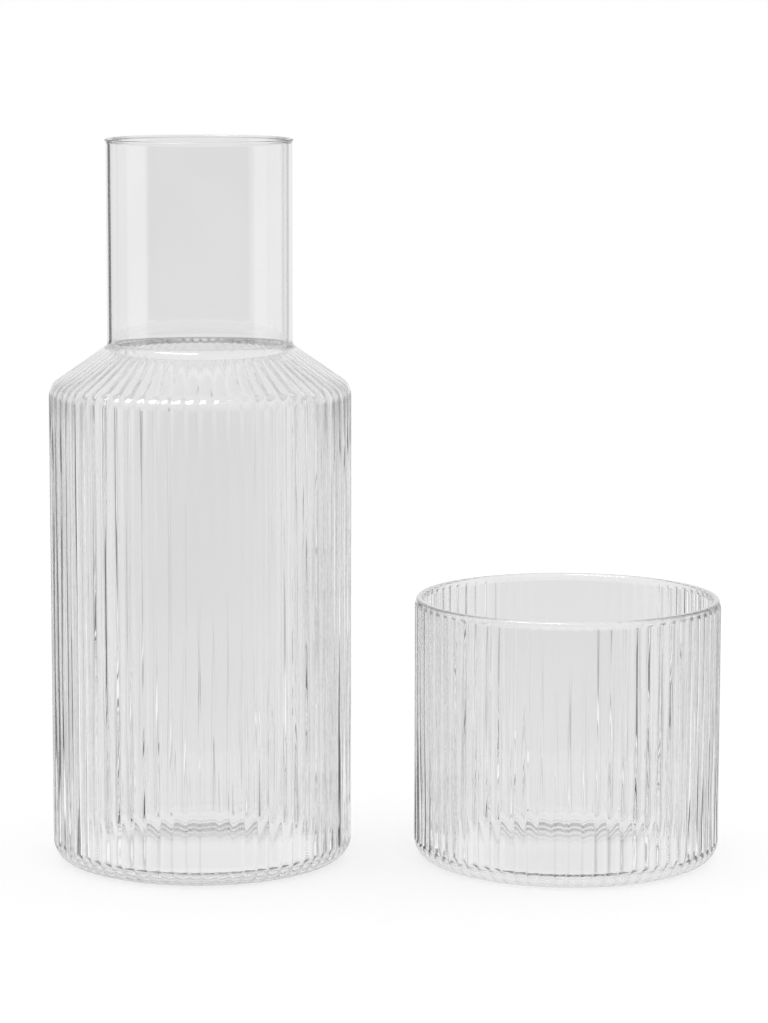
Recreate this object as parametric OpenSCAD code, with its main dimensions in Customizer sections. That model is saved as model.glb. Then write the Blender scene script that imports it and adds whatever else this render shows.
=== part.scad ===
// Bedside set of two clear blown-glass vessels: a fluted carafe and a low fluted tumbler.
// The tumbler drinks upright and, turned over, caps the carafe's neck with its rim on the shoulder.
// They stand side by side on the XY plane, with +Z up. The origin is on that plane, in the middle
// of the rectangle that the two of them cover.

/* [Carafe] */
// Diameter of the body over the crests of its flutes
carafe_d = 84; // [76:0.5:92]
// Height from the underside to the rim
carafe_h = 202; // [180:0.5:230]
// Thickness of the fluted wall from a crest to the inside
carafe_wall = 1.9; // [1.6:0.1:3]
// Thickness of the base
carafe_base = 3.8; // [3:0.2:6]
// Radius of the rounded corner at the foot of the wall
carafe_corner = 6; // [4:0.5:8]
// Number of flutes round the body
carafe_flutes = 68; // [48:4:72]

/* [Shoulder and neck] */
// Slope of the shoulder above the level, in degrees
shoulder_slope = 35; // [25:1:45]
// Radius of the rounded edge where the wall turns into the shoulder
shoulder_round = 5; // [3:0.5:7]
// Outside diameter of the plain neck
neck_d = 51.4; // [44:0.2:58]
// Height of the plain neck above the shoulder
neck_h = 57; // [45:0.5:70]
// Thickness of the glass in the neck
neck_wall = 1.3; // [1:0.1:2.2]
// How far the fire-polished rim stands proud of the neck
rim_proud = 0.3; // [0.1:0.05:0.4]

/* [Tumbler] */
// How far the tumbler stands out past the carafe's wall when it caps the neck
tumbler_overhang = 0.9; // [0.7:0.1:1.6]
// Free height above the neck inside the tumbler when it caps the neck
cap_clearance = 2.4; // [0.8:0.2:8]
// Thickness of the fluted wall from a crest to the inside
tumbler_wall = 2.2; // [2:0.1:2.8]
// Thickness of the base
tumbler_base = 3.7; // [3:0.1:6]
// Radius of the rounded corner at the foot of the wall
tumbler_corner = 5.5; // [4:0.5:8]
// Height of the plain band under the rim where the flutes have ended
plain_rim_h = 1.2; // [1:0.2:5]
// How far the plain rim lies inside the crests of the flutes
plain_rim_inset = 0.5; // [0.4:0.05:0.9]
// Number of flutes round the wall
tumbler_flutes = 72; // [48:4:76]

/* [Both vessels] */
// Depth of the valley between two flutes, where they begin at the foot of a wall
flute_depth = 0.5; // [0.3:0.05:0.55]
// Height over which that depth settles to the depth on the walls
flute_settle_h = 20; // [10:1:30]
// Depth on the walls, as a share of the depth at the foot
wall_depth_share = 0.6; // [0.4:0.1:1]
// Depth at the top of the shoulder's cone, as a share of the depth on the walls
cone_depth_share = 0.4; // [0.2:0.1:0.6]
// Clear distance between the carafe and the tumbler where they stand
stand_gap = 17.8; // [4:0.1:60]
// Width of the flat ring that each vessel stands on
foot_width = 6; // [3:0.5:10]
// Rise of the shallow hollow under each base
punt_rise = 0.6; // [0.3:0.1:1.5]

/* [Hidden] */

glass = [0.86, 0.9, 0.9, 0.5];
round_steps = 144; // sides of a full turn where a surface is round
arc_steps = 8; // steps along a rounded edge inside a vessel
corner_steps = 4; // steps along a rounded edge of the fluted skin
flute_steps = 4; // points across one flute
overrun = 2; // how far a cut reaches past the glass
lip_flat = 0.15; // narrow flat left on top of a rim between its two roundings
flute_fade = 0.6; // half the height over which the tumbler's flutes run out

carafe_r = carafe_d / 2;
carafe_inner_r = carafe_r - carafe_wall;
neck_r = neck_d / 2;
neck_inner_r = neck_r - neck_wall;
neck_lip = (neck_wall + rim_proud - lip_flat) / 2;

// The shoulder: a rounded edge at the top of the wall, then a cone up to the neck's foot
slope_normal = 90 - shoulder_slope;
edge_center_r = carafe_r - shoulder_round;
cone_start_r = edge_center_r + shoulder_round * cos(slope_normal);
neck_foot_z = carafe_h - neck_h;
cone_start_z = neck_foot_z - (cone_start_r - neck_r) * tan(shoulder_slope);
wall_top_z = cone_start_z - shoulder_round * sin(slope_normal);
inner_round = shoulder_round - carafe_wall;
inner_cone_start_r = edge_center_r + inner_round * cos(slope_normal);
inner_cone_start_z = wall_top_z + inner_round * sin(slope_normal);
bore_foot_z = inner_cone_start_z + (inner_cone_start_r - neck_inner_r) * tan(shoulder_slope);

tumbler_r = carafe_r + tumbler_overhang;
tumbler_inner_r = tumbler_r - tumbler_wall;
tumbler_rim_r = tumbler_r - plain_rim_inset;
tumbler_lip = (tumbler_rim_r - tumbler_inner_r - lip_flat) / 2;

// The seat: turned over, the tumbler's round lip touches the round edge of the shoulder from above
seat_reach = shoulder_round + tumbler_lip;
seat_angle = acos((tumbler_inner_r + tumbler_lip - edge_center_r) / seat_reach);
seat_z = wall_top_z + seat_reach * sin(seat_angle) - tumbler_lip;
tumbler_h = tumbler_base + cap_clearance + carafe_h - seat_z;

set_w = carafe_d + stand_gap + 2 * tumbler_r;
carafe_x = carafe_r - set_w / 2;
tumbler_x = set_w / 2 - tumbler_r;

// Points [radius, height] along an arc of a profile
function arc(center_r, center_z, radius, from, to, steps) =
    [for (i = [0:steps]) let (a = from + (to - from) * i / steps)
        [center_r + radius * cos(a), center_z + radius * sin(a)]];

// A ring of the fluted skin: [radius, height, pull inwards, pull downwards, share of the depth].
// The pulls say which way the glass gives way at a valley, for each millimetre of its depth.
function skin_arc(center_r, center_z, radius, from, to) =
    [for (i = [0:corner_steps]) let (a = from + (to - from) * i / corner_steps)
        [center_r + radius * cos(a), center_z + radius * sin(a), cos(a), sin(a),
            min(1, cos(a) / cos(slope_normal))]];

// The flutes begin under the rounded corner, where their depth grows from nothing, and settle above it
function foot_rings(radius, corner) = concat(skin_arc(radius - corner, corner, corner, -90, 0),
    [[radius, corner + flute_settle_h, 1, 0, wall_depth_share]]);

// The same rings with their flutes as deep as on the walls
function wall_deep(rings) =
    [for (ring = rings) [ring[0], ring[1], ring[2], ring[3], ring[4] * wall_depth_share]];

// One closed skin of convex flutes that meet in sharp valleys, with a crest on each axis
module fluted_skin(rings, flutes) {
    around = flutes * flute_steps;
    last = len(rings) - 1;
    points = [for (ring = rings) for (i = [0:around - 1])
        let (across = 2 * (i % flute_steps) / flute_steps - 1)
        let (cut = flute_depth * ring[4] * across * across)
        let (a = 360 * (i - flute_steps / 2) / around)
        [(ring[0] - cut * ring[2]) * cos(a), (ring[0] - cut * ring[2]) * sin(a), ring[1] - cut * ring[3]]];
    sides = [for (k = [0:last - 1]) for (i = [0:around - 1])
        let (next = (i + 1) % around, low = k * around, high = low + around)
        each [[low + i, high + i, high + next], [low + i, high + next, low + next]]];
    underside = [for (i = [0:around - 1]) i];
    top = [for (i = [around - 1:-1:0]) last * around + i];
    polyhedron(points = points, faces = concat([underside], sides, [top]), convexity = 4);
}

module revolved(profile) {
    rotate_extrude($fn = round_steps) polygon(profile);
}

// The shallow hollow under a base, inside the ring that the vessel stands on
module punt(radius) {
    dome_r = (radius * radius + punt_rise * punt_rise) / (2 * punt_rise);
    dome_angle = asin(radius / dome_r);
    revolved(concat(arc(0, punt_rise - dome_r, dome_r, 90 - dome_angle, 90, arc_steps),
        [[0, -overrun], [radius, -overrun]]));
}

module carafe() {
    skin_top_r = neck_r - neck_wall / 2; // the fluted skin ends inside the glass of the neck
    skin_top_z = neck_foot_z + (neck_r - skin_top_r) * tan(shoulder_slope);
    upper_rings = wall_deep(concat(skin_arc(edge_center_r, wall_top_z, shoulder_round, 0, slope_normal),
        [[skin_top_r, skin_top_z, 1 / cos(slope_normal), 0, cone_depth_share]]));
    lip_r = neck_r + rim_proud - neck_lip;
    lip_z = carafe_h - neck_lip;
    under_lip = -acos((neck_lip - rim_proud) / neck_lip); // where the proud rim leaves the neck
    inner_corner = carafe_corner - carafe_wall;

    color(glass)
    translate([carafe_x, 0, 0])
    difference() {
        union() {
            fluted_skin(concat(foot_rings(carafe_r, carafe_corner), upper_rings), carafe_flutes);
            revolved(concat([[0, wall_top_z], [neck_r, wall_top_z]],
                arc(lip_r, lip_z, neck_lip, under_lip, 90, arc_steps), [[0, carafe_h]]));
        }
        revolved(concat([[0, carafe_base]],
            arc(carafe_inner_r - inner_corner, carafe_base + inner_corner, inner_corner, -90, 0, arc_steps),
            arc(edge_center_r, wall_top_z, inner_round, 0, slope_normal, arc_steps),
            [[neck_inner_r, bore_foot_z]],
            arc(neck_inner_r + neck_lip, lip_z, neck_lip, 180, 90, arc_steps),
            [[neck_inner_r + neck_lip, carafe_h + overrun], [0, carafe_h + overrun]]));
        punt(carafe_r - carafe_corner - foot_width);
    }
}

module tumbler() {
    fade_z = tumbler_h - plain_rim_h; // the crests run out here
    wall_ring = [tumbler_r, fade_z - flute_fade, 1, 0, wall_depth_share];
    top_ring = [tumbler_rim_r - plain_rim_inset, fade_z + flute_fade, 1, 0, 0];
    lip_z = tumbler_h - tumbler_lip;
    inner_corner = tumbler_corner - tumbler_wall;

    color(glass)
    translate([tumbler_x, 0, 0])
    difference() {
        union() {
            fluted_skin(concat(foot_rings(tumbler_r, tumbler_corner), [wall_ring, top_ring]), tumbler_flutes);
            revolved(concat([[0, tumbler_base], [tumbler_rim_r, fade_z - 2 * flute_fade]],
                arc(tumbler_rim_r - tumbler_lip, lip_z, tumbler_lip, 0, 90, arc_steps), [[0, tumbler_h]]));
        }
        revolved(concat([[0, tumbler_base]],
            arc(tumbler_inner_r - inner_corner, tumbler_base + inner_corner, inner_corner, -90, 0, arc_steps),
            arc(tumbler_inner_r + tumbler_lip, lip_z, tumbler_lip, 180, 90, arc_steps),
            [[tumbler_inner_r + tumbler_lip, tumbler_h + overrun], [0, tumbler_h + overrun]]));
        punt(tumbler_r - tumbler_corner - foot_width);
    }
}

carafe();
tumbler();
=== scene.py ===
import math

import bpy
import numpy as np
from mathutils import Matrix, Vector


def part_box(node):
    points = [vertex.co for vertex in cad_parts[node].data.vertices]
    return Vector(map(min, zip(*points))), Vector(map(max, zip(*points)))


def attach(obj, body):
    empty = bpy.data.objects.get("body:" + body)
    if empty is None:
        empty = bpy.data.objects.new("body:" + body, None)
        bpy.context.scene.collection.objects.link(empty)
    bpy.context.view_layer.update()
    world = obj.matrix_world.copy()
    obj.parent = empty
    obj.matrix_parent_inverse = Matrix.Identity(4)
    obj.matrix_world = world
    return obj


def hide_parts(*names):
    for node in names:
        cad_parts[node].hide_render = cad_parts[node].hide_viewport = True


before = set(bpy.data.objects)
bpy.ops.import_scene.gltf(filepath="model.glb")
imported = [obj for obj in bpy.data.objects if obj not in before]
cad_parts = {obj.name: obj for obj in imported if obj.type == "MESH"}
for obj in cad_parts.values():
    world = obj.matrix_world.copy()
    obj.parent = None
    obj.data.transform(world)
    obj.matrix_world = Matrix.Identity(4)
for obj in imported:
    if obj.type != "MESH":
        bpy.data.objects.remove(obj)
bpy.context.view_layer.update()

# A vessel is one closed skin of rings. A ring is its radius, its height, the way its glass gives way
# at a valley between two flutes (inwards, downwards) and its share of the depth of a flute.

ringLook = {
    "supportGap": 0.0002,        # a ring this near each end of a straight run keeps a bend's shading out
    "supportShare": 0.4,         # but never further in than this share of a step
    "sameSpot": 1e-6,            # rings nearer than this are one
    "flutesBegin": (-88, -50),   # degrees along the corner at the foot: none yet, and full
    "rippleBegins": (-90, -30),  # the same, inside
    "hubDivisor": 6,             # the flat inside ends in a ring this many times smaller
}
ringSteps = {
    "underside": 8,
    "corner": 10,
    "settlingWall": 7,
    "upperWall": 5,
    "shoulder": 7,
    "cone": 5,
    "coneFade": 3,
    "fillet": 4,
    "plain": 2,
    "rimFade": 5,
    "rimOutside": 7,
    "rimInside": 6,
    "innerFillet": 5,
    "innerShoulder": 6,
    "innerWall": 6,
    "innerCorner": 7,
}


def smoothStep(low, high, value):
    t = min(1.0, max(0.0, (value - low) / (high - low)))
    return t * t * (3 - 2 * t)


def arcRings(centreR, centreZ, radius, startAngle, endAngle, steps, share=lambda angle: 0.0):
    rings = []
    for angle in np.linspace(startAngle, endAngle, steps + 1):
        inwards = math.cos(math.radians(angle))
        downwards = math.sin(math.radians(angle))
        place = (centreR + radius * inwards, centreZ + radius * downwards)
        rings.append((*place, inwards, downwards, share(angle)))
    return rings


def lineRings(start, end, steps, pull=(1, 0), startShare=0.0, endShare=0.0, ease=False):
    rings = []
    support = min(ringLook["supportGap"] / math.dist(start, end), ringLook["supportShare"] / steps)
    for t in sorted([*np.linspace(0, 1, steps + 1), support, 1 - support]):
        shareT = smoothStep(0, 1, t) if ease else t
        place = (start[0] + (end[0] - start[0]) * t, start[1] + (end[1] - start[1]) * t)
        rings.append((*place, *pull, startShare + (endShare - startShare) * shareT))
    return rings


def joinRings(*runs):
    joined = []
    for ring in [ring for run in runs for ring in run]:
        meets = joined and math.dist(ring[:2], joined[-1][:2]) < ringLook["sameSpot"]
        if not meets:
            joined.append(ring)
    return joined


def fluteShape(look, across):
    turn = 2 * np.arange(across) / across - 1
    u = turn + look["crowding"] * np.sin(np.pi * turn)
    soft = look["valleyRound"]
    fromValley = (np.sqrt((1 - abs(u)) ** 2 + soft ** 2) - soft) / (math.sqrt(1 + soft ** 2) - soft)
    return u, (1 - fromValley) ** 2


def vesselMesh(name, look, rings, centreX, undersideZ, insideZ):
    random = np.random.default_rng(look["seed"])
    flutes = look["flutes"]
    across = look["pointsAcross"]
    around = flutes * across
    step = np.arange(around)
    u, sink = fluteShape(look, across)

    # Hand-made flutes are never quite alike: their width and depth differ, and drift along the height
    rows = np.array(rings)
    turn = 2 * np.pi * rows[:, 1:2] / look["driftLength"]
    halfFlute = np.pi / flutes
    drift = np.sin(turn + random.uniform(0, 2 * np.pi, flutes))
    shift = look["widthVariation"] * random.uniform(-1, 1, flutes) + look["widthDrift"] * drift
    valleys = (2 * np.arange(flutes) - 1 + shift) * halfFlute
    width = np.roll(valleys, -1, axis=1) - valleys
    width[:, -1] += 2 * np.pi
    angle = (valleys[:, :, None] + (u + 1) / 2 * width[:, :, None]).reshape(len(rows), around)
    swell = np.sin(turn + random.uniform(0, 2 * np.pi, flutes))
    depth = 1 + look["depthVariation"] * random.uniform(-1, 1, flutes) + look["depthDrift"] * swell
    cut = look["fluteDepth"] * rows[:, 4:5] * (depth[:, :, None] * sink).reshape(len(rows), around)
    radius = rows[:, 0:1] - cut * rows[:, 2:3]
    height = rows[:, 1:2] - cut * rows[:, 3:4]
    grid = np.stack([centreX + radius * np.cos(angle), radius * np.sin(angle), height], axis=-1)
    grid = grid.reshape(-1, 3)
    underside = len(grid)
    inside = underside + 1
    points = np.vstack([grid, [centreX, 0, undersideZ], [centreX, 0, insideZ]])

    after = (step + 1) % around
    faces = []
    for low in range(0, (len(rows) - 1) * around, around):
        high = low + around
        faces.extend(np.stack([low + step, low + after, high + after, high + step], axis=-1).tolist())
    last = (len(rows) - 1) * around
    faces.extend(np.stack([np.full(around, underside), after, step], axis=-1).tolist())
    faces.extend(np.stack([np.full(around, inside), last + step, last + after], axis=-1).tolist())

    mesh = bpy.data.meshes.new(name)
    mesh.from_pydata(points.tolist(), [], faces)
    mesh.polygons.foreach_set("use_smooth", np.ones(len(mesh.polygons), bool))
    mesh.update()
    print("vessel", name, "rings", len(rows), "faces", len(mesh.polygons))
    return mesh


def undersideRings(look, footR):
    puntR = footR - look["footWidth"]
    rise = look["puntRise"]
    domeR = (puntR ** 2 + rise ** 2) / (2 * rise)
    steps = ringSteps["underside"]
    rings = []
    for r in np.linspace(puntR / steps, puntR, steps):
        rings.append((r, rise - domeR + math.sqrt(domeR ** 2 - r ** 2), 0, 0, 0))
    return rings


def cornerShare(angle):
    return smoothStep(*ringLook["flutesBegin"], angle)   # the flutes begin under the rounded corner


def bottomRings(look, radius, wallTopZ):
    corner = look["corner"]
    footR = radius - corner
    settledZ = corner + look["depthSettles"]
    upper = look["upperDepthShare"]
    return joinRings(
        undersideRings(look, footR),
        arcRings(footR, corner, corner, -90, 0, ringSteps["corner"], cornerShare),
        lineRings((radius, corner), (radius, settledZ), ringSteps["settlingWall"],
                  startShare=1, endShare=upper, ease=True),
        lineRings((radius, settledZ), (radius, wallTopZ), ringSteps["upperWall"],
                  startShare=upper, endShare=upper))


def insideRings(look, radius, topZ):
    innerR = radius - look["wall"]
    corner = look["innerCorner"]
    cornerZ = look["base"] + corner
    flatR = innerR - corner
    hubR = flatR / ringLook["hubDivisor"]
    ripple = look["innerRippleShare"]
    begins = ringLook["rippleBegins"]
    return joinRings(
        lineRings((innerR, topZ), (innerR, cornerZ), ringSteps["innerWall"],
                  startShare=ripple, endShare=ripple),
        arcRings(flatR, cornerZ, corner, 0, -90, ringSteps["innerCorner"],
                 lambda angle: ripple * smoothStep(*begins, angle)),
        lineRings((flatR, look["base"]), (hubR, look["base"]), ringSteps["plain"]))


def rimRings(look, outerR, innerR, topZ, startAngle):
    lip = look["rimRound"]
    return joinRings(
        arcRings(outerR - lip, topZ - lip, lip, startAngle, 90, ringSteps["rimOutside"]),
        arcRings(innerR + lip, topZ - lip, lip, 90, 180, ringSteps["rimInside"]))


carafeLook = {
    "seed": 3,
    "flutes": 68,
    "pointsAcross": 12,
    "crowding": 0.2,             # draws the points towards the valleys
    "valleyRound": 0.16,         # share of half a flute
    "fluteDepth": 0.0005,
    "upperDepthShare": 0.6,
    "depthSettles": 0.06,        # height over which the depth falls to that share
    "widthVariation": 0.05,
    "depthVariation": 0.1,
    "widthDrift": 0.03,
    "depthDrift": 0.1,
    "driftLength": 0.11,
    "innerRippleShare": 0.15,
    "wall": 0.0019,
    "base": 0.0038,
    "corner": 0.006,
    "innerCorner": 0.002,
    "footWidth": 0.006,
    "puntRise": 0.0006,
    "shoulderSlope": 35,
    "shoulderRound": 0.005,
    "coneTopShare": 0.3,         # the flutes fade on their way up the cone
    "coneFade": 0.002,
    "neckRadius": 0.0257,
    "neckWall": 0.0013,
    "neckHeight": 0.057,
    "footFillet": 0.002,
    "rimProud": 0.0003,
    "rimRound": 0.0004,
    "rimRun": 3,                 # the plain neck ends this many roundings below the top
}


def carafeRings(look, radius, height):
    slope = math.radians(look["shoulderSlope"])
    upright = 90 - look["shoulderSlope"]
    normal = (math.cos(math.radians(upright)), math.sin(math.radians(upright)))
    shoulder = look["shoulderRound"]
    edgeR = radius - shoulder
    neckR = look["neckRadius"]
    neckFootZ = height - look["neckHeight"]
    coneR = edgeR + shoulder * normal[0]
    coneZ = neckFootZ - (coneR - neckR) * math.tan(slope)
    wallTopZ = coneZ - shoulder * normal[1]
    upper = look["upperDepthShare"]

    # Outside: a small fillet joins the cone to the neck
    fillet = look["footFillet"]
    filletR = neckR + fillet
    filletZ = neckFootZ - fillet * math.tan(slope) + fillet / math.cos(slope)
    tangent = (filletR - fillet * normal[0], filletZ - fillet * normal[1])
    fade = (tangent[0] + look["coneFade"], tangent[1] - look["coneFade"] * math.tan(slope))
    fadeShare = upper * look["coneTopShare"]

    # Inside: the same bends, offset by the wall and the neck's glass
    innerNeckR = neckR - look["neckWall"]
    innerShoulder = shoulder - look["wall"]
    innerCone = (edgeR + innerShoulder * normal[0], wallTopZ + innerShoulder * normal[1])
    boreFootZ = innerCone[1] + (innerCone[0] - innerNeckR) * math.tan(slope)
    innerFillet = fillet + look["neckWall"]
    innerFilletZ = boreFootZ - innerFillet * math.tan(slope) + innerFillet / math.cos(slope)
    innerFilletR = innerNeckR + innerFillet
    innerTangent = (innerFilletR - innerFillet * normal[0], innerFilletZ - innerFillet * normal[1])

    lip = look["rimRound"]
    rimR = neckR + look["rimProud"]
    underRim = -math.degrees(math.acos((lip - look["rimProud"]) / lip))
    return joinRings(
        bottomRings(look, radius, wallTopZ),
        arcRings(edgeR, wallTopZ, shoulder, 0, upright, ringSteps["shoulder"], lambda angle: upper),
        lineRings((coneR, coneZ), fade, ringSteps["cone"], normal, upper, fadeShare),
        lineRings(fade, tangent, ringSteps["coneFade"], normal, fadeShare, 0),
        arcRings(filletR, filletZ, fillet, 180 + upright, 180, ringSteps["fillet"]),
        lineRings((neckR, filletZ), (neckR, height - look["rimRun"] * lip), ringSteps["plain"]),
        rimRings(look, rimR, innerNeckR, height, underRim),
        lineRings((innerNeckR, height - lip), (innerNeckR, innerFilletZ), ringSteps["plain"]),
        arcRings(innerFilletR, innerFilletZ, innerFillet, 180, 180 + upright, ringSteps["innerFillet"]),
        lineRings(innerTangent, innerCone, ringSteps["plain"]),
        arcRings(edgeR, wallTopZ, innerShoulder, upright, 0, ringSteps["innerShoulder"]),
        insideRings(look, radius, wallTopZ))


tumblerLook = {
    "seed": 5,
    "flutes": 72,
    "pointsAcross": 12,
    "crowding": 0.2,
    "valleyRound": 0.16,
    "fluteDepth": 0.0005,
    "upperDepthShare": 0.6,
    "depthSettles": 0.05,
    "widthVariation": 0.05,
    "depthVariation": 0.1,
    "widthDrift": 0.03,
    "depthDrift": 0.1,
    "driftLength": 0.07,
    "innerRippleShare": 0.15,
    "wall": 0.0022,
    "base": 0.0037,
    "corner": 0.0055,
    "innerCorner": 0.0019,
    "footWidth": 0.006,
    "puntRise": 0.0006,
    "rimInset": 0.0004,
    "rimBand": 0.001,
    "fluteFade": 0.0012,
    "rimRound": 0.0008,
}


def tumblerRings(look, radius, height):
    rimR = radius - look["rimInset"]
    innerR = radius - look["wall"]
    fadeTop = height - look["rimBand"]
    fadeFoot = fadeTop - look["fluteFade"]
    upper = look["upperDepthShare"]
    fade = []
    for t in np.linspace(0, 1, ringSteps["rimFade"] + 1):
        ease = smoothStep(0, 1, t)
        place = (radius + (rimR - radius) * ease, fadeFoot + look["fluteFade"] * t)
        fade.append((*place, 1, 0, upper * (1 - ease)))
    return joinRings(
        bottomRings(look, radius, fadeFoot),
        fade,
        rimRings(look, rimR, innerR, height, 0),
        lineRings((innerR, height - look["rimRound"]), (innerR, fadeFoot), ringSteps["plain"],
                  endShare=look["innerRippleShare"]),
        insideRings(look, radius, fadeFoot))


def addVessel(name, node, look, makeRings):
    low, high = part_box(node)
    rings = makeRings(look, (high[0] - low[0]) / 2, high[2])
    mesh = vesselMesh(name, look, rings, (low[0] + high[0]) / 2, look["puntRise"], look["base"])
    piece = bpy.data.objects.new(name, mesh)
    bpy.context.collection.objects.link(piece)
    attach(piece, node)
    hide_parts(node)
    return piece


carafe = addVessel("fluted_carafe", "carafe", carafeLook, carafeRings)
tumbler = addVessel("fluted_tumbler", "tumbler", tumblerLook, tumblerRings)


# Small helpers for node trees


def mathNode(tree, operation, first, second=None):
    node = tree.nodes.new("ShaderNodeMath")
    node.operation = operation
    for socket, value in zip(node.inputs, (first, second)):
        if isinstance(value, bpy.types.NodeSocket):
            tree.links.new(value, socket)
        elif value is not None:
            socket.default_value = value
    return node.outputs[0]


def rangeNode(tree, value, low, high, toLow=0.0, toHigh=1.0):
    node = tree.nodes.new("ShaderNodeMapRange")
    node.interpolation_type = "SMOOTHSTEP"
    node.inputs["From Min"].default_value = low
    node.inputs["From Max"].default_value = high
    node.inputs["To Min"].default_value = toLow
    node.inputs["To Max"].default_value = toHigh
    tree.links.new(value, node.inputs["Value"])
    return node.outputs["Result"]


def newGroup(name, numbers, outputs):
    group = bpy.data.node_groups.new(name, "ShaderNodeTree")
    for label, value in numbers.items():
        socket = group.interface.new_socket(name=label, in_out="INPUT", socket_type="NodeSocketFloat")
        socket.default_value = value
    for label, kind in outputs.items():
        group.interface.new_socket(name=label, in_out="OUTPUT", socket_type=kind)
    return group, group.nodes.new("NodeGroupInput"), group.nodes.new("NodeGroupOutput")


# Blown glass: long upright streaks drawn by the mould, slow waves, and a trace of haze

glassLook = {
    "ior": 1.5,
    "shadowTint": (0.93, 0.93, 0.93, 1),
    "streakScale": 400.0,
    "waveScale": 60.0,
    "reliefHeight": 0.00006,
    "roughnessHigh": 0.004,
    "tintLow": 0.98,
    "hazePatches": (0.4, 0.75),  # noise where the haze begins, and where it is full
}


def drawnStreaksGroup():
    group, given, result = newGroup(
        "drawnStreaks",
        {"Streak Scale": 400.0, "Stretch": 0.05, "Wave Scale": 60.0, "Wave Share": 0.5, "None Below": 0.005,
         "Full From": 0.012, "Full Up To": 0.02, "None Above": 0.09},
        {"Height": "NodeSocketFloat"})
    place = group.nodes.new("ShaderNodeTexCoord")
    split = group.nodes.new("ShaderNodeSeparateXYZ")
    group.links.new(place.outputs["Object"], split.inputs[0])
    joined = group.nodes.new("ShaderNodeCombineXYZ")
    group.links.new(split.outputs["X"], joined.inputs["X"])
    group.links.new(split.outputs["Y"], joined.inputs["Y"])
    stretched = mathNode(group, "MULTIPLY", split.outputs["Z"], given.outputs["Stretch"])
    group.links.new(stretched, joined.inputs["Z"])
    streaks = group.nodes.new("ShaderNodeTexNoise")
    streaks.inputs["Detail"].default_value = 1.0
    group.links.new(joined.outputs[0], streaks.inputs["Vector"])
    group.links.new(given.outputs["Streak Scale"], streaks.inputs["Scale"])
    waves = group.nodes.new("ShaderNodeTexNoise")
    waves.inputs["Detail"].default_value = 1.0
    group.links.new(place.outputs["Object"], waves.inputs["Vector"])
    group.links.new(given.outputs["Wave Scale"], waves.inputs["Scale"])
    slow = mathNode(group, "MULTIPLY", waves.outputs[0], given.outputs["Wave Share"])
    rising = rangeNode(group, split.outputs["Z"], 0.0, 1.0)
    group.links.new(given.outputs["None Below"], rising.node.inputs["From Min"])
    group.links.new(given.outputs["Full From"], rising.node.inputs["From Max"])
    falling = rangeNode(group, split.outputs["Z"], 0.0, 1.0, 1.0, 0.0)
    group.links.new(given.outputs["Full Up To"], falling.node.inputs["From Min"])
    group.links.new(given.outputs["None Above"], falling.node.inputs["From Max"])
    low = mathNode(group, "MULTIPLY", rising, falling)
    height = mathNode(group, "MULTIPLY", mathNode(group, "ADD", streaks.outputs[0], slow), low)
    group.links.new(height, result.inputs["Height"])
    return group


def hazeGroup():
    group, given, result = newGroup(
        "glassHaze",
        {"Scale": 30.0, "Roughness Low": 0.0, "Roughness High": 0.02, "Tint Low": 0.98, "Tint High": 1.0},
        {"Roughness": "NodeSocketFloat", "Tint": "NodeSocketColor"})
    place = group.nodes.new("ShaderNodeTexCoord")
    patches = group.nodes.new("ShaderNodeTexNoise")
    patches.inputs["Detail"].default_value = 2.0
    group.links.new(place.outputs["Object"], patches.inputs["Vector"])
    group.links.new(given.outputs["Scale"], patches.inputs["Scale"])
    amount = rangeNode(group, patches.outputs[0], *glassLook["hazePatches"])
    ends = (("Roughness Low", "Roughness High", "Roughness"), ("Tint High", "Tint Low", "Tint"))
    for low, high, target in ends:
        span = mathNode(group, "SUBTRACT", given.outputs[high], given.outputs[low])
        value = mathNode(group, "ADD", given.outputs[low], mathNode(group, "MULTIPLY", span, amount))
        group.links.new(value, result.inputs[target])
    return group


def placeGroup(material, group, values):
    node = material.node_tree.nodes.new("ShaderNodeGroup")
    node.node_tree = group
    for label, value in values.items():
        node.inputs[label].default_value = value
    return node


def clearGlass(look):
    material = bpy.data.materials.new("clear_blown_glass")
    material.use_nodes = True
    tree = material.node_tree
    shader = tree.nodes["Principled BSDF"]
    shader.inputs["IOR"].default_value = look["ior"]
    shader.inputs["Transmission Weight"].default_value = 1.0
    haze = placeGroup(material, hazeGroup(),
                      {"Roughness High": look["roughnessHigh"], "Tint Low": look["tintLow"]})
    tree.links.new(haze.outputs["Tint"], shader.inputs["Base Color"])
    tree.links.new(haze.outputs["Roughness"], shader.inputs["Roughness"])
    streaks = placeGroup(material, drawnStreaksGroup(),
                         {"Streak Scale": look["streakScale"], "Wave Scale": look["waveScale"]})
    relief = tree.nodes.new("ShaderNodeBump")
    relief.inputs["Distance"].default_value = look["reliefHeight"]
    tree.links.new(streaks.outputs["Height"], relief.inputs["Height"])
    tree.links.new(relief.outputs["Normal"], shader.inputs["Normal"])
    # Light passes through the glass to the floor, so its shadow stays faint
    path = tree.nodes.new("ShaderNodeLightPath")
    clear = tree.nodes.new("ShaderNodeBsdfTransparent")
    clear.inputs["Color"].default_value = look["shadowTint"]
    mix = tree.nodes.new("ShaderNodeMixShader")
    tree.links.new(path.outputs["Is Shadow Ray"], mix.inputs["Fac"])
    tree.links.new(shader.outputs["BSDF"], mix.inputs[1])
    tree.links.new(clear.outputs["BSDF"], mix.inputs[2])
    tree.links.new(mix.outputs["Shader"], tree.nodes["Material Output"].inputs["Surface"])
    return material


glass = clearGlass(glassLook)
for vessel in (carafe, tumbler):
    vessel.data.materials.append(glass)
print("glass on", carafe.name, "and", tumbler.name)


# Floor: white with a faint shadow. Through glass, in reflections and from below it gives way to the studio.

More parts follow.
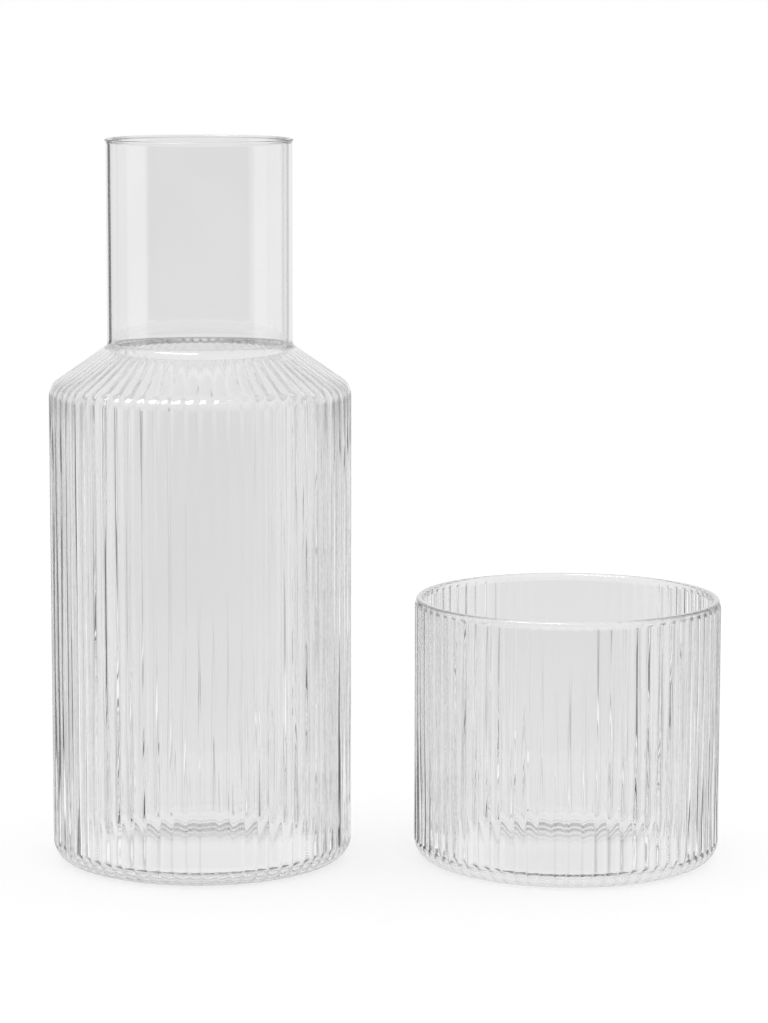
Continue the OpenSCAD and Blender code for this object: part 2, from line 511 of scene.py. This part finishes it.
floorLook = {
    "radius": 0.6,
    "sides": 96,
    "drop": 0.0001,              # keeps it clear of the faces that stand on it
    "baseTone": 0.38,
    "backgroundTone": 0.65,      # added where the floor is seen directly
}


def addFloor(look):
    turns = np.linspace(0, 2 * np.pi, look["sides"], endpoint=False)
    mesh = bpy.data.meshes.new("floor")
    corners = [(look["radius"] * math.cos(a), look["radius"] * math.sin(a), -look["drop"]) for a in turns]
    mesh.from_pydata(corners, [], [list(range(look["sides"]))])
    floor = bpy.data.objects.new("floor", mesh)
    bpy.context.collection.objects.link(floor)

    material = bpy.data.materials.new("pale_floor")
    material.use_nodes = True
    tree = material.node_tree
    shader = tree.nodes["Principled BSDF"]
    shader.inputs["Base Color"].default_value = (look["baseTone"], look["baseTone"], look["baseTone"], 1)
    shader.inputs["Roughness"].default_value = 1.0
    shader.inputs["Specular IOR Level"].default_value = 0.0
    shader.inputs["Emission Color"].default_value = (1, 1, 1, 1)
    path = tree.nodes.new("ShaderNodeLightPath")
    lift = mathNode(tree, "MULTIPLY", path.outputs["Is Camera Ray"], look["backgroundTone"])
    tree.links.new(lift, shader.inputs["Emission Strength"])

    side = tree.nodes.new("ShaderNodeNewGeometry")
    behind = mathNode(tree, "MAXIMUM", path.outputs["Is Glossy Ray"], path.outputs["Is Transmission Ray"])
    behind = mathNode(tree, "MAXIMUM", behind, side.outputs["Backfacing"])
    beyond = tree.nodes.new("ShaderNodeBsdfTransparent")
    mix = tree.nodes.new("ShaderNodeMixShader")
    tree.links.new(behind, mix.inputs["Fac"])
    tree.links.new(shader.outputs["BSDF"], mix.inputs[1])
    tree.links.new(beyond.outputs[0], mix.inputs[2])
    tree.links.new(mix.outputs[0], tree.nodes["Material Output"].inputs["Surface"])
    mesh.materials.append(material)
    print("floor of radius", look["radius"])


addFloor(floorLook)


# Studio: plain white light all round. Seen straight through the glass it is a pale backdrop, alike from
# every quarter of a turn, with greyer strips in between off the level. Mirrored rays see the room: white
# screens with dark gaps between them, which draw the lines in the glass and are greyer further down but
# for the front, and a soft box up in front on the left.

studioLook = {
    # Tones by degrees off a quarter of a turn
    "backdropTones": [(0, 0.78), (13, 0.78), (13.3, 0.66), (15.3, 0.66), (15.7, 0.45), (17.3, 0.45),
                      (17.7, 1), (20, 1), (20.4, 0.2), (22.5, 0.2), (22.9, 1), (24.3, 1), (24.6, 0.02),
                      (27.5, 0.02), (27.9, 1), (30.5, 1), (30.9, 0.05), (33.5, 0.05), (34, 0.78),
                      (45, 0.78)],
    "plainTone": 0.83,
    # Tones by degrees from the front. The low ones change at once, the level ones slowly.
    "lowTones": [(-180, 1), (-162, 0.06), (-149, 1), (-142, 0.1), (-138, 1), (-124, 0.02), (-115, 1),
                 (-63, 0.3), (63, 1), (110, 0.05), (115, 1), (126, 0.03), (136, 1), (144, 0.05),
                 (151, 1), (158, 0.05), (164, 1)],
    "levelTones": [(-180, 0.85), (-156, 0.85), (-155, 0), (-146, 0), (-145, 0.7), (-104, 0.75),
                   (-103.5, 0.1), (-101.5, 0.1), (-101, 0.95), (-68, 0.95), (-66, 0.16), (74, 0.16),
                   (76, 0.95), (123, 0.95), (127, 0.75), (145, 0.7), (147, 0.3), (150, 0.3),
                   (152, 0.85), (180, 0.85)],
    # Rise of a ray, as a share of its length, where one zone gives way to the next
    "levelEdge": (0.098, 0.112),
    "footRise": (-0.23, -0.15),
    "footGain": 1.09,            # the backdrop is lighter towards its foot
    "aboveRise": (-0.04, -0.01),
    "aboveTone": 0.86,
    "belowRise": (-0.38, -0.27),
    "belowTone": 0.42,
    "frontTurn": 1.1,            # half the width of the front, in radians
    "frontBelowTone": 0.8,
    "steepRise": (0.6, 0.75),
    "steepTone": 0.86,
    # The soft box: its sides, as a share of its height above the glass
    "softBoxTone": 12.0,
    "softBoxX": (-1.0, -0.03),
    "softBoxY": (-0.95, -0.38),
    "softBoxEdge": 0.04,
    "softBoxRise": 0.1,          # it lies above rays that rise this much
    "leastRise": 0.05,           # keeps the shares finite near the level
    "softBoxDepth": 0.5,         # below one pass through glass: seen in the outer faces only
    "mirroredDepth": 0.5,        # above no mirroring at all
}


def bandNode(tree, value, band, edge):
    rising = rangeNode(tree, value, band[0] - edge, band[0] + edge)
    falling = rangeNode(tree, value, band[1] - edge, band[1] + edge, 1.0, 0.0)
    return mathNode(tree, "MULTIPLY", rising, falling)


def rampNode(tree, share, tones, lowest, highest, change="LINEAR"):
    ramp = tree.nodes.new("ShaderNodeValToRGB")
    ramp.color_ramp.interpolation = change
    tree.links.new(share, ramp.inputs["Fac"])
    stops = ramp.color_ramp.elements
    for index, (degrees, tone) in enumerate(tones):
        position = (degrees - lowest) / (highest - lowest)
        stop = stops[index] if index < 2 else stops.new(position)
        stop.position = position
        stop.color = (tone, tone, tone, 1)
    return ramp.outputs["Color"]


def mixNode(tree, factor, first, second):
    mix = tree.nodes.new("ShaderNodeMix")
    for socket, value in (("Factor", factor), ("A", first), ("B", second)):
        if isinstance(value, bpy.types.NodeSocket):
            tree.links.new(value, mix.inputs[socket])
        else:
            mix.inputs[socket].default_value = value
    return mix.outputs["Result"]


def addStudio(look):
    world = bpy.data.worlds.new("studio")
    bpy.context.scene.world = world
    world.use_nodes = True
    tree = world.node_tree
    place = tree.nodes.new("ShaderNodeTexCoord")
    split = tree.nodes.new("ShaderNodeSeparateXYZ")
    tree.links.new(place.outputs["Generated"], split.inputs[0])
    x, y, z = split.outputs
    azimuth = mathNode(tree, "ARCTAN2", x, mathNode(tree, "MULTIPLY", y, -1.0))   # 0 is the front

    fold = math.pi / 4
    offSide = mathNode(tree, "DIVIDE", mathNode(tree, "PINGPONG", azimuth, fold), fold)
    strips = rampNode(tree, offSide, look["backdropTones"], 0, math.degrees(fold))
    slope = mathNode(tree, "ABSOLUTE", z)
    level = rangeNode(tree, slope, *look["levelEdge"], 1.0, 0.0)
    steep = rangeNode(tree, slope, *look["steepRise"])
    strips = mathNode(tree, "MULTIPLY", strips, rangeNode(tree, z, *look["footRise"], look["footGain"], 1.0))
    backdrop = mixNode(tree, steep, mixNode(tree, level, strips, look["plainTone"]), look["steepTone"])

    turn = mathNode(tree, "ADD", mathNode(tree, "MULTIPLY", azimuth, 0.5 / math.pi), 0.5)
    walls = mixNode(tree, level, rampNode(tree, turn, look["lowTones"], -180, 180, "CONSTANT"),
                    rampNode(tree, turn, look["levelTones"], -180, 180))
    below = rangeNode(tree, z, *look["belowRise"], 1.0, 0.0)
    front = mathNode(tree, "LESS_THAN", mathNode(tree, "ABSOLUTE", azimuth), look["frontTurn"])
    walls = mathNode(tree, "MULTIPLY", walls, mixNode(tree, below, 1.0, look["belowTone"]))
    walls = mixNode(tree, mathNode(tree, "MULTIPLY", below, front), walls, look["frontBelowTone"])
    room = mixNode(tree, rangeNode(tree, z, *look["aboveRise"]), walls, look["aboveTone"])
    rise = mathNode(tree, "MAXIMUM", z, look["leastRise"])
    acrossX = bandNode(tree, mathNode(tree, "DIVIDE", x, rise), look["softBoxX"], look["softBoxEdge"])
    acrossY = bandNode(tree, mathNode(tree, "DIVIDE", y, rise), look["softBoxY"], look["softBoxEdge"])
    path = tree.nodes.new("ShaderNodeLightPath")
    near = mathNode(tree, "LESS_THAN", path.outputs["Transmission Depth"], look["softBoxDepth"])
    above = mathNode(tree, "GREATER_THAN", z, look["softBoxRise"])
    shown = mathNode(tree, "MULTIPLY", above, near)
    box = mathNode(tree, "MULTIPLY", mathNode(tree, "MULTIPLY", acrossX, acrossY), shown)
    room = mathNode(tree, "ADD", room, mathNode(tree, "MULTIPLY", box, look["softBoxTone"]))

    mirrored = mathNode(tree, "GREATER_THAN", path.outputs["Glossy Depth"], look["mirroredDepth"])
    straight = mixNode(tree, path.outputs["Is Transmission Ray"], 1.0, backdrop)
    tree.links.new(mixNode(tree, mirrored, straight, room), tree.nodes["Background"].inputs["Strength"])
    tree.nodes["Background"].inputs["Color"].default_value = (1, 1, 1, 1)
    print("studio with", len(look["lowTones"]) + len(look["levelTones"]), "tones round the room")


addStudio(studioLook)

cameraLook = {
    "lens": 130.6,
    "sensor": 36,
    "location": (-0.00065, -1.0265, 0.2467),
    "pitch": 8.23,               # degrees below the level
    "roll": 0.1,                 # degrees
}


def addCamera(look):
    data = bpy.data.cameras.new("camera")
    data.lens = look["lens"]
    data.sensor_width = look["sensor"]
    camera = bpy.data.objects.new("camera", data)
    bpy.context.collection.objects.link(camera)
    camera.location = look["location"]
    tilt = Matrix.Rotation(math.radians(90 - look["pitch"]), 3, "X")
    camera.rotation_euler = (tilt @ Matrix.Rotation(math.radians(look["roll"]), 3, "Z")).to_euler()
    bpy.context.scene.camera = camera
    print("camera at", look["location"])


addCamera(cameraLook)
bpy.context.scene.view_settings.view_transform = "Standard"
lightBounces = 64   # light runs a long way inside the walls
for kind in ("max_bounces", "glossy_bounces", "transmission_bounces"):
    setattr(bpy.context.scene.cycles, kind, lightBounces)
